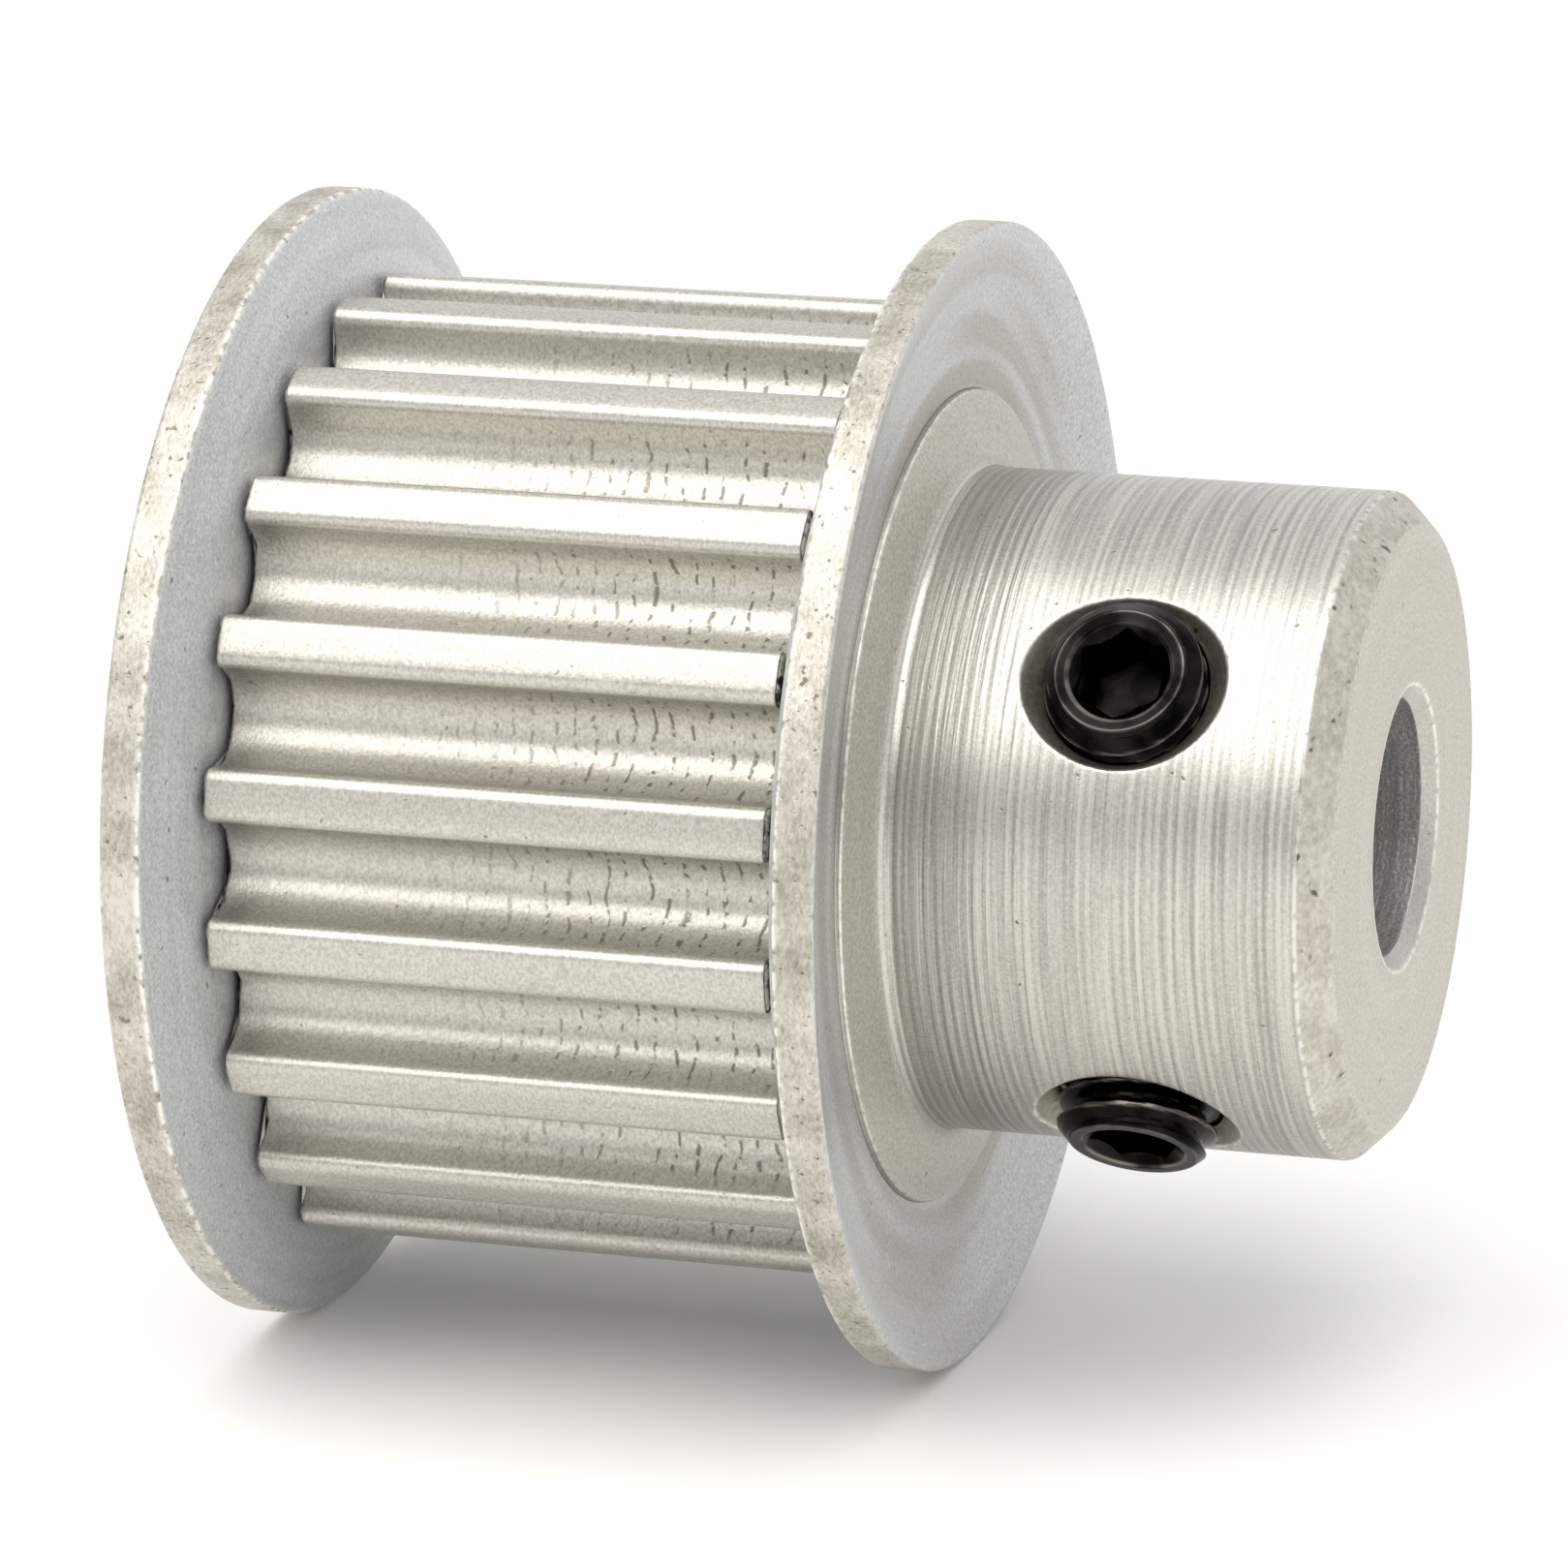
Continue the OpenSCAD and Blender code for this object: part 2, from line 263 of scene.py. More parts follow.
def turnedAluminium(name, spec):
    # Aluminium cut on a lathe. The tool's feed leaves fine rings, seen as thin light and dark lines where the light
    # changes, over a dull grain. Rings follow x - r, which grows along the whole outline from the flange to the bore.
    material, tree, place = newMaterial(name)
    x, y, z = addNode(tree, "ShaderNodeSeparateXYZ", {"Vector": place}).outputs
    across = addNode(tree, "ShaderNodeCombineXYZ", {"Y": y, "Z": z})
    radius = addNode(tree, "ShaderNodeVectorMath", {0: across}, operation="LENGTH")
    along = addNode(tree, "ShaderNodeMath", {0: x, 1: radius}, operation="SUBTRACT")
    rings = addNode(tree, "ShaderNodeCombineXYZ", {"X": along, "Y": y, "Z": z})
    thin = addNode(tree, "ShaderNodeMapping", {"Vector": rings, "Scale": perMm(spec["feedMark"])})
    scratches = addNode(tree, "ShaderNodeTexNoise", {
        "Vector": thin, "Scale": 1.0, "Detail": 2.0, "Roughness": 0.6,
    })
    wide = addNode(tree, "ShaderNodeMapping", {"Vector": rings, "Scale": perMm(spec["toolBand"])})
    bands = addNode(tree, "ShaderNodeTexNoise", {"Vector": wide, "Scale": 1.0, "Detail": 1.0})
    turns = addNode(tree, "ShaderNodeMath", {
        0: along, 1: perMm(spec["feedStep"]), 2: bands,
    }, operation="MULTIPLY_ADD")
    feed = addNode(tree, "ShaderNodeMath", {0: turns, 1: 0.5}, operation="PINGPONG")  # one ridge for every turn
    lines = addNode(tree, "ShaderNodeMath", {0: feed, 1: spec["feedShare"], 2: scratches}, operation="MULTIPLY_ADD")
    grain = addNode(tree, "ShaderNodeTexNoise", {
        "Vector": place, "Scale": perMm(spec["grain"]), "Detail": 2.0, "Roughness": 0.6,
    })
    slow = addNode(tree, "ShaderNodeMath", {0: bands, 1: spec["bandShare"]}, operation="MULTIPLY")
    dull = addNode(tree, "ShaderNodeMath", {0: grain, 1: spec["grainShare"], 2: slow}, operation="MULTIPLY_ADD")
    tone = addNode(tree, "ShaderNodeMath", {0: lines, 1: spec["lineShare"], 2: dull}, operation="MULTIPLY_ADD")
    low, high = spec["toneRange"]
    share = addNode(tree, "ShaderNodeMapRange", {"Value": tone, "From Min": low, "From Max": high})
    base = addNode(tree, "ShaderNodeMix", {
        0: share, 6: colour(spec["dark"]), 7: colour(spec["pale"]),
    }, data_type="RGBA")
    if "hubReflectionTone" in spec:  # a warmer, darker painted reflection of the hub and shade of the dish, in faint rings, on the middle of the outer face
        low, high = (edge * mm for edge in spec["innerRadius"])
        middle = addNode(tree, "ShaderNodeMapRange", {
            "Value": radius, "From Min": low, "From Max": high, "To Min": spec["innerShare"], "To Max": 0.0,
        })
        low, high = (edge * mm for edge in spec["outerFaceX"])
        either = addNode(tree, "ShaderNodeMath", {0: x}, operation="ABSOLUTE")
        outside = addNode(tree, "ShaderNodeMapRange", {"Value": either, "From Min": low, "From Max": high})
        low, high = spec["innerRings"]
        uneven = addNode(tree, "ShaderNodeMapRange", {
            "Value": bands, "From Min": low, "From Max": high, "To Min": spec["ringFloor"],
        })
        paintedReflection = addNode(tree, "ShaderNodeMath", {0: middle, 1: outside}, operation="MULTIPLY")
        paintedReflection = addNode(tree, "ShaderNodeMath", {0: paintedReflection, 1: uneven}, operation="MULTIPLY")
        base = addNode(tree, "ShaderNodeMix", {
            0: paintedReflection, 6: base, 7: colour(spec["hubReflectionTone"]),
        }, data_type="RGBA", blend_type="MULTIPLY")
    pits, base = pittedAndRubbed(tree, place, base, spec)
    cut = addNode(tree, "ShaderNodeMath", {0: grain, 1: spec["grainBump"], 2: lines}, operation="MULTIPLY_ADD")
    height = addNode(tree, "ShaderNodeMath", {0: pits, 1: -0.5, 2: cut}, operation="MULTIPLY_ADD")
    closeMaterial(tree, spec, base, height)
    return material


milledFinish = {
    "pale": "#cfccc5", "dark": "#b3b0a8", "worn": "#f5f2eb", "pit": "#8b857a", "rubMin": 0.5,
    "grain": (0.10, 0.13, 0.13), "toneRange": (0.36, 0.62), "pitSize": 0.26, "pitRange": (0.75, 0.82),
    "markStep": 0.62, "markWidth": (0.04, 0.14), "markPatch": 0.3, "markRange": (0.49, 0.57), "markSway": 1.1,
    "markRadius": (14.9, 14.4), "markFrom": (-5.0, 4.5), "markShare": 0.9, "markColour": "#746e62",
    "bump": 0.010, "roughness": 0.33, "metallic": 0.85,
}


def milledAluminium(name, spec):
    # Teeth cut by a hob: a satin grain, and in the grooves towards one end short curved marks, one for each bite of
    # the cutter. A mark is where the distance along x, swayed a little, is near a whole number of steps. The real
    # marks are closer together and wouldn't show.
    material, tree, place = newMaterial(name)
    x, y, z = addNode(tree, "ShaderNodeSeparateXYZ", {"Vector": place}).outputs
    across = addNode(tree, "ShaderNodeCombineXYZ", {"Y": y, "Z": z})
    radius = addNode(tree, "ShaderNodeVectorMath", {0: across}, operation="LENGTH")
    stretched = addNode(tree, "ShaderNodeMapping", {"Vector": place, "Scale": perMm(spec["grain"])})
    grain = addNode(tree, "ShaderNodeTexNoise", {
        "Vector": stretched, "Scale": 1.0, "Detail": 3.0, "Roughness": 0.6,
    })
    low, high = spec["toneRange"]
    share = addNode(tree, "ShaderNodeMapRange", {"Value": grain, "From Min": low, "From Max": high})
    base = addNode(tree, "ShaderNodeMix", {
        0: share, 6: colour(spec["dark"]), 7: colour(spec["pale"]),
    }, data_type="RGBA")
    sway = addNode(tree, "ShaderNodeTexNoise", {"Vector": place, "Scale": perMm(spec["markSway"]), "Detail": 1.0})
    steps = addNode(tree, "ShaderNodeMath", {0: x, 1: perMm(spec["markStep"]), 2: sway}, operation="MULTIPLY_ADD")
    away = addNode(tree, "ShaderNodeMath", {0: steps, 1: 0.5}, operation="PINGPONG")
    low, high = spec["markWidth"]
    line = addNode(tree, "ShaderNodeMapRange", {
        "Value": away, "From Min": low, "From Max": high, "To Min": 1.0, "To Max": 0.0,
    })
    patches = addNode(tree, "ShaderNodeTexNoise", {
        "Vector": place, "Scale": perMm(spec["markPatch"]), "Detail": 1.0,
    })
    low, high = spec["markRange"]
    broken = addNode(tree, "ShaderNodeMapRange", {"Value": patches, "From Min": low, "From Max": high})
    low, high = (edge * mm for edge in spec["markRadius"])
    deep = addNode(tree, "ShaderNodeMapRange", {"Value": radius, "From Min": low, "From Max": high})
    low, high = (edge * mm for edge in spec["markFrom"])
    front = addNode(tree, "ShaderNodeMapRange", {
        "Value": x, "From Min": low, "From Max": high, "To Max": spec["markShare"],
    })
    marks = addNode(tree, "ShaderNodeMath", {0: line, 1: broken}, operation="MULTIPLY")
    marks = addNode(tree, "ShaderNodeMath", {0: marks, 1: deep}, operation="MULTIPLY")
    marks = addNode(tree, "ShaderNodeMath", {0: marks, 1: front}, operation="MULTIPLY")
    base = addNode(tree, "ShaderNodeMix", {0: marks, 6: base, 7: colour(spec["markColour"])}, data_type="RGBA")
    pits, base = pittedAndRubbed(tree, place, base, spec)
    height = addNode(tree, "ShaderNodeMath", {0: marks, 1: -1.0, 2: grain}, operation="MULTIPLY_ADD")
    closeMaterial(tree, spec, base, height)
    return material


rimFinish = {
    "pale": "#d6d1c8", "dark": "#a09a8f", "worn": "#fdfbf4", "pit": "#857d6e", "rubMin": 0.0,
    "grain": (0.11, 0.22, 0.22), "cloud": 1.6, "cloudShare": 0.45, "toneRange": (0.36, 0.62),
    "pitSize": 0.24, "pitRange": (0.66, 0.76),
    "bump": 0.028, "roughness": 0.42, "metallic": 0.75,
}
chamferFinish = {
    "pale": "#d0ccc4", "dark": "#aca69b", "worn": "#f5f2ea", "pit": "#6d675b", "rubMin": 0.0,
    "grain": (0.18, 0.25, 0.25), "cloud": 1.2, "cloudShare": 0.35, "toneRange": (0.36, 0.62),
    "pitSize": 0.42, "pitRange": (0.68, 0.76),
    "bump": 0.025, "roughness": 0.42, "metallic": 0.9,
}
# the tapped holes: a darker, more olive grey than the turned metal
holeFinish = {
    "pale": "#b3b0a2", "dark": "#8b8879", "worn": "#f5f2ea", "pit": "#4d4a42", "rubMin": 0.55,
    "grain": (0.2, 0.2, 0.2), "cloud": 2.0, "cloudShare": 0.4, "toneRange": (0.36, 0.62),
    "pitSize": 0.35, "pitRange": (0.72, 0.8),
    "bump": 0.008, "roughness": 0.34, "metallic": 0.85,
}
# painted shadow: the tooth ends in near black, for the shade in the narrow gap beside the flanges
gapShadowFinish = {
    "pale": "#2d2b29", "dark": "#191817", "worn": "#e9e6de", "pit": "#161514", "rubMin": 0.0,
    "grain": (0.15, 0.2, 0.2), "cloud": 1.0, "cloudShare": 0.4, "toneRange": (0.36, 0.62),
    "pitSize": 0.3, "pitRange": (0.7, 0.8),
    "bump": 0.01, "roughness": 0.6, "metallic": 0.4,
}


def mattAluminium(name, spec):
    # Aluminium left as sheared, filed or tapped: a rough grain in two tones over slow clouds, pits, and bright
    # edges. The tone is the grain and the clouds added by their shares.
    material, tree, place = newMaterial(name)
    stretched = addNode(tree, "ShaderNodeMapping", {"Vector": place, "Scale": perMm(spec["grain"])})
    grain = addNode(tree, "ShaderNodeTexNoise", {
        "Vector": stretched, "Scale": 1.0, "Detail": 3.0, "Roughness": 0.65,
    })
    clouds = addNode(tree, "ShaderNodeTexNoise", {"Vector": place, "Scale": perMm(spec["cloud"]), "Detail": 2.0})
    slow = addNode(tree, "ShaderNodeMath", {0: clouds, 1: spec["cloudShare"]}, operation="MULTIPLY")
    rough = 1 - spec["cloudShare"]
    tone = addNode(tree, "ShaderNodeMath", {0: grain, 1: rough, 2: slow}, operation="MULTIPLY_ADD")
    low, high = spec["toneRange"]
    share = addNode(tree, "ShaderNodeMapRange", {"Value": tone, "From Min": low, "From Max": high})
    base = addNode(tree, "ShaderNodeMix", {
        0: share, 6: colour(spec["dark"]), 7: colour(spec["pale"]),
    }, data_type="RGBA")
    pits, base = pittedAndRubbed(tree, place, base, spec)
    height = addNode(tree, "ShaderNodeMath", {0: pits, 1: -0.7, 2: grain}, operation="MULTIPLY_ADD")
    closeMaterial(tree, spec, base, height)
    return material


blackFinish = {
    "black": "#0d0c0d", "soot": "#211e1e", "worn": "#989188", "grain": 0.25, "patch": 1.1,
    "sootRange": (0.4, 0.62), "rubRange": (0.35, 0.55), "rubMin": 0.1,
    "bump": 0.003, "roughness": 0.22, "metallic": 1.0,
}


def blackOxideSteel(name, spec):
    # Steel with an oiled black oxide skin: nearly black, in slightly browner patches, and rubbed to thin grey steel
    # where the mesh's wear meets a patch. Round the socket's mouth the wear also holds a painted highlight on its
    # lower side.
    material, tree, place = newMaterial(name)
    grain = addNode(tree, "ShaderNodeTexNoise", {"Vector": place, "Scale": perMm(spec["grain"]), "Detail": 3.0})
    patches = addNode(tree, "ShaderNodeTexNoise", {"Vector": place, "Scale": perMm(spec["patch"]), "Detail": 2.0})
    low, high = spec["sootRange"]
    share = addNode(tree, "ShaderNodeMapRange", {"Value": patches, "From Min": low, "From Max": high})
    wear = addNode(tree, "ShaderNodeAttribute", attribute_name="wear").outputs["Fac"]
    low, high = spec["rubRange"]
    left = addNode(tree, "ShaderNodeMapRange", {
        "Value": patches, "From Min": low, "From Max": high, "To Min": spec["rubMin"],
    })
    rubbed = addNode(tree, "ShaderNodeMath", {0: wear, 1: left}, operation="MULTIPLY")
    base = addNode(tree, "ShaderNodeMix", {
        0: share, 6: colour(spec["black"]), 7: colour(spec["soot"]),
    }, data_type="RGBA")
    base = addNode(tree, "ShaderNodeMix", {0: rubbed, 6: base, 7: colour(spec["worn"])}, data_type="RGBA")
    closeMaterial(tree, spec, base, grain)
    return material


print("material recipes ready")


body = {
    "tipR": 20 * 5 / (2 * math.pi) - 0.5715, "teeth": 20, "landAngle": 8,
    "grooveDepth": 2.06, "grooveR": 1.5, "tipRound": 0.4, "landSteps": 3, "edgeSteps": 5, "flankSteps": 6,
    "faceWidth": 17.8, "endBreak": 0.14, "endSteps": 4, "endWear": 0.8,
    "ragged": 0.13, "raggedFrom": 0.3, "raggedFull": 0.6, "raggedSeed": 7,
    "seatX": 9.05, "flangeX": 10.30, "spigotX": 10.98, "spigotR": 12.40, "shoulderR": 12.90,
    "lipRise": 0.2, "lipFlare": 0.35, "lipDraft": 0.02, "lipRound": 0.1, "rearFaceR": 11.4,
    "hubR": 10.35, "hubX": 24.85, "hubChamfer": 1.0, "hubFillet": 0.45, "chamferRound": (0.25, 0.5),
    "boreR": 4.0, "boreChamfer": 0.45, "boreRound": 0.04, "rearRound": 0.3, "cornerSteps": 4, "supportReach": 0.1,
    "holeX": 18.0, "holeR": 2.53, "countersink": 0.7, "coneEndR": 2.55, "holeAngles": (36, -54),
    "windowAngle": 43, "windowRows": 14, "hubWindow": 3.95, "boreWindow": 3.2,
    "rimRings": (0.18, 0.1, 0.065, 0.035, 0.01, -0.01, -0.035, -0.065, -0.1), "rimOuter": 0.3, "rimRound": 0.09,
    "hubRings": 7, "wallRings": 36, "boreRings": 5, "threadPitch": 0.8, "threadDepth": 0.22, "threadRunout": 0.08,
    "wornWidth": 0.06,
}


def toothOutline(spec):
    # One groove after another: half a land on the tip circle, a rounded edge, the straight start of the flank, the
    # round bottom, and the same back up. Returns y and z for the whole ring, and the outward normal at every point.
    tip, groove, rounding = spec["tipR"], spec["grooveR"], spec["tipRound"]
    edgeY = groove + rounding
    edgeX = math.sqrt((tip - rounding) ** 2 - edgeY ** 2)
    bottomX = tip - spec["grooveDepth"] + groove
    lean = math.atan2(edgeY, edgeX)
    land = np.linspace(math.pi / spec["teeth"], lean, spec["landSteps"])[:-1]
    edge = np.linspace(lean, -math.pi / 2, spec["edgeSteps"])[:-1]
    flank = np.linspace(math.pi / 2, math.pi, spec["flankSteps"])
    # half of it, from the middle of a land at +pitch/2 to the groove's bottom, as (outward, sideways)
    half = np.concatenate([
        np.stack([tip * np.cos(land), tip * np.sin(land)], 1),
        np.stack([edgeX + rounding * np.cos(edge), edgeY + rounding * np.sin(edge)], 1),
        [[edgeX, groove]],
        np.stack([bottomX + groove * np.cos(flank), groove * np.sin(flank)], 1),
    ])
    normal = np.concatenate([
        np.stack([np.cos(land), np.sin(land)], 1),
        np.stack([np.cos(edge), np.sin(edge)], 1),
        [[0, -1]],
        -np.stack([np.cos(flank), np.sin(flank)], 1),
    ])
    flip = np.array([1, -1])
    pitch = np.concatenate([half, half[-2:0:-1] * flip])
    pitchNormal = np.concatenate([normal, normal[-2:0:-1] * flip])
    # angles count down from the land, so the order is turned round to make them count up
    pitch, pitchNormal = pitch[::-1], pitchNormal[::-1]
    turn = np.radians(spec["landAngle"] + 360 / spec["teeth"] * (np.arange(spec["teeth"]) + 0.5))[:, None, None]

    def around(flat):
        # outward and sideways parts turned into the directions -Y .. +Z
        outward, sideways = flat[None, :, 0, None], flat[None, :, 1, None]
        y = -outward * np.cos(turn) + sideways * np.sin(turn)
        z = outward * np.sin(turn) + sideways * np.cos(turn)
        return np.concatenate([y, z], 2).reshape(-1, 2)

    return around(pitch), around(pitchNormal)


def pulleyBody(spec):
    # The toothed rows and the turned profile, one after the other, are one closed grid round the bore. The grid's
    # cells inside a window round each screw hole are left out, and the hole's own rings fill it.
    outline, outlineNormal = toothOutline(spec)
    columns = len(outline)
    outlineAngles = np.unwrap(np.arctan2(outline[:, 1], -outline[:, 0]))
    angles = outlineAngles.mean() + (np.arange(columns) - (columns - 1) / 2) * 2 * math.pi / columns

    # toothed rows: both ends drawn in along the outline's normals by a small quarter round
    arc = np.linspace(0, math.pi / 2, spec["endSteps"])
    tuck = spec["endBreak"] * (1 - np.cos(arc[::-1]))
    endX = spec["faceWidth"] / 2 - spec["endBreak"] * (1 - np.sin(arc[::-1]))
    rowX = np.concatenate([-endX, endX[::-1]])[:, None]
    rowTuck = np.concatenate([tuck, tuck[::-1]])[:, None, None]
    flat = outline[None] - outlineNormal[None] * rowTuck
    # the cutter leaves the ends of the grooves a little ragged, and the lands clean
    outlineR = np.hypot(outline[:, 0], outline[:, 1])
    inGroove = np.clip((spec["tipR"] - spec["raggedFrom"] - outlineR) / spec["raggedFull"], 0, 1)
    bites = np.random.default_rng(spec["raggedSeed"]).uniform(0, 1, columns) ** 2
    atEnd = np.abs(rowX) > spec["faceWidth"] / 2 - 2 * spec["endBreak"]
    rowX = rowX - np.sign(rowX) * atEnd * spec["ragged"] * inGroove * bites
    toothRows = np.concatenate([rowX[..., None], flat], 2)

    # turned rows, from the front shoulder round through the hub and the bore to the rear shoulder
    lipX, lipR = spec["flangeX"] + spec["lipRise"], spec["spigotR"] + spec["lipFlare"] - spec["lipDraft"]

    def spigot(side):
        # the shoulder, the seat for the flange, the flared edge that holds it, and the rounded top of its low lip
        edge = [
            (spec["faceWidth"] / 2, spec["shoulderR"], 0),
            (spec["seatX"], spec["shoulderR"], 0),
            (spec["seatX"], spec["spigotR"], 0),
            (spec["flangeX"] - spec["lipFlare"], spec["spigotR"], 0),
            (spec["flangeX"], spec["spigotR"] + spec["lipFlare"], 0),
            (lipX, lipR, spec["lipRound"]),
        ]
        return [(side * x, r, rounding) for x, r, rounding in edge][::side]

    window = np.linspace(-1, 1, spec["windowRows"] + 1)
    hubRows = spec["holeX"] + window * spec["hubWindow"]
    boreRows = spec["holeX"] - window * spec["boreWindow"]
    chamferRound, faceRound = spec["chamferRound"]
    corners = spigot(1) + [
        (spec["spigotX"], spec["hubR"], spec["hubFillet"]),
    ] + [(x, spec["hubR"], 0) for x in hubRows] + [
        (spec["hubX"] - spec["hubChamfer"], spec["hubR"], chamferRound),
        (spec["hubX"], spec["hubR"] - spec["hubChamfer"], faceRound),
        (spec["hubX"], spec["boreR"] + spec["boreChamfer"], spec["boreRound"]),
        (spec["hubX"] - spec["boreChamfer"], spec["boreR"], spec["boreRound"]),
    ] + [(x, spec["boreR"], 0) for x in boreRows] + [
        (-spec["spigotX"] + spec["boreChamfer"], spec["boreR"], spec["boreRound"]),
        (-spec["spigotX"], spec["boreR"] + spec["boreChamfer"], spec["boreRound"]),
        (-spec["spigotX"], spec["rearFaceR"], spec["rearRound"]),
    ] + spigot(-1)
    profile = supportRows(roundCorners(corners, spec["cornerSteps"]), spec["supportReach"])
    turnedRows = turned(profile, angles)

    points = np.concatenate([toothRows, turnedRows])
    quads = gridQuads(len(points), columns, wrapRows=True)
    noProfile = np.full((len(toothRows), 2), np.nan)
    xs, rs = np.concatenate([noProfile, profile]).T
    patches = []
    hidden = np.zeros(quads.shape[:2], bool)
    for holeAngle in spec["holeAngles"]:
        # columns inside the window round this hole
        offset = (np.degrees(angles) - holeAngle + 180) % 360 - 180
        inside = np.flatnonzero(np.abs(offset) < spec["windowAngle"])
        inside = inside[np.argsort(offset[inside])]
        loops = []
        for wall, radius, rows in (("hub", spec["hubR"], hubRows), ("bore", spec["boreR"], boreRows[::-1])):
            onWall = np.abs(rs - radius) < tiny
            low = min(np.flatnonzero(onWall & (np.abs(xs - x) < tiny))[0] for x in rows)
            hidden[low:low + spec["windowRows"], inside[:-1]] = True
            # the window's edge as one loop of (along the bore, angle from the hole)
            side = offset[inside]
            sideOnes, rowOnes = np.ones(len(side) - 1), np.ones(len(rows) - 1)
            edgeX = np.concatenate([sideOnes * rows[0], rows[:-1], sideOnes * rows[-1], rows[:0:-1]])
            edgeA = np.concatenate([side[:-1], rowOnes * side[-1], side[:0:-1], rowOnes * side[0]])
            loops.append((edgeX - spec["holeX"], radius * np.sin(np.radians(edgeA))))
        patches.append(screwHole(spec, holeAngle, *loops))
    quads = quads[~hidden]
    toothWear = (rowTuck[:, :, 0] > spec["endBreak"] / 3) * spec["endWear"]
    mouthR = spec["boreR"] + spec["boreChamfer"]
    wornEdges = [
        (spec["hubX"] - spec["hubChamfer"], spec["hubR"]), (spec["hubX"], spec["hubR"] - spec["hubChamfer"]),
        (spec["hubX"], mouthR), (lipX, lipR), (-lipX, lipR), (-spec["spigotX"], mouthR),
    ]
    turnedWear = nearEdges(profile[:, :1], profile[:, 1:], wornEdges, spec["wornWidth"])
    return [(points, quads, np.concatenate([toothWear, turnedWear]))] + patches


def screwHole(spec, angle, hubLoop, boreLoop):
    # A tapped hole as rings of points about its own axis, joined to a window in the hub and one in the bore.
    # Every ring has its points at the same bearings. Out to in: the hub's curve, a rounded rim where that curve
    # meets the 45 degree countersink, the thread as a wave in the wall's radius that climbs one pitch a turn, and
    # the bore's curve.
    bearing = np.arctan2(hubLoop[1], hubLoop[0])
    boreBearing = np.arctan2(boreLoop[1], boreLoop[0])
    cos, sin = np.cos(bearing), np.sin(bearing)
    hubR, boreR, holeR = spec["hubR"], spec["boreR"], spec["holeR"]
    coneFoot = hubR - spec["countersink"] - holeR  # height of the cone's own tip
    # the rim's distance from the axis: hub height equals cone height, a quadratic in that distance
    a, b, c = 1 + sin ** 2, 2 * coneFoot, coneFoot ** 2 - hubR ** 2
    rim = (-b + np.sqrt(b * b - 4 * a * c)) / (2 * a)

    steps = np.linspace(1, 0, spec["hubRings"])[:, None]
    outer = rim + spec["rimOuter"]
    p = outer * cos * (1 - steps) + hubLoop[0] * steps
    q = outer * sin * (1 - steps) + hubLoop[1] * steps
    hubRings = (p, q, np.sqrt(hubR ** 2 - q ** 2))

    near = rim + np.array(spec["rimRings"])[:, None]
    cone = near[-1] + (spec["coneEndR"] - near[-1]) * np.array([0.35, 0.7, 1])[:, None]
    reach = np.concatenate([near, cone])
    height = smoothMin(np.sqrt(hubR ** 2 - (reach * sin) ** 2), coneFoot + reach, spec["rimRound"])
    rimRings = (reach * cos, reach * sin, height)

    # down the wall the bearings move over from the hub window's to the bore window's, slowly at first
    mix = np.linspace(0, 1, spec["wallRings"] + 1)[1:, None]
    mixed = bearing + ((boreBearing - bearing + np.pi) % (2 * np.pi) - np.pi) * mix ** 2
    floor = np.sqrt(boreR ** 2 - (holeR * np.sin(mixed)) ** 2)
    depth = height[-1] + (floor - height[-1]) * mix
    fade = np.clip(np.minimum(mix, 1 - mix) / spec["threadRunout"], 0, 1)
    wave = 1 - threadWave(depth / spec["threadPitch"] - mixed / (2 * np.pi))
    wall = holeR + spec["threadDepth"] * fade * wave
    wallRings = (wall * np.cos(mixed), wall * np.sin(mixed), depth)

    steps = np.linspace(0, 1, spec["boreRings"])[1:, None]
    p = holeR * np.cos(boreBearing) * (1 - steps) + boreLoop[0] * steps
    q = holeR * np.sin(boreBearing) * (1 - steps) + boreLoop[1] * steps
    boreRings = (p, q, np.sqrt(boreR ** 2 - q ** 2))

    p, q, h = (np.concatenate(parts) for parts in zip(hubRings, rimRings, wallRings, boreRings))
    points = outwards(p, q, h, angle, spec["holeX"])
    wear = np.zeros(points.shape[:2])
    rimStart = len(hubRings[0])
    wear[rimStart:rimStart + len(near)] = np.exp(-((near - rim) / spec["wornWidth"]) ** 2)
    return points, gridQuads(*points.shape[:2]), wear


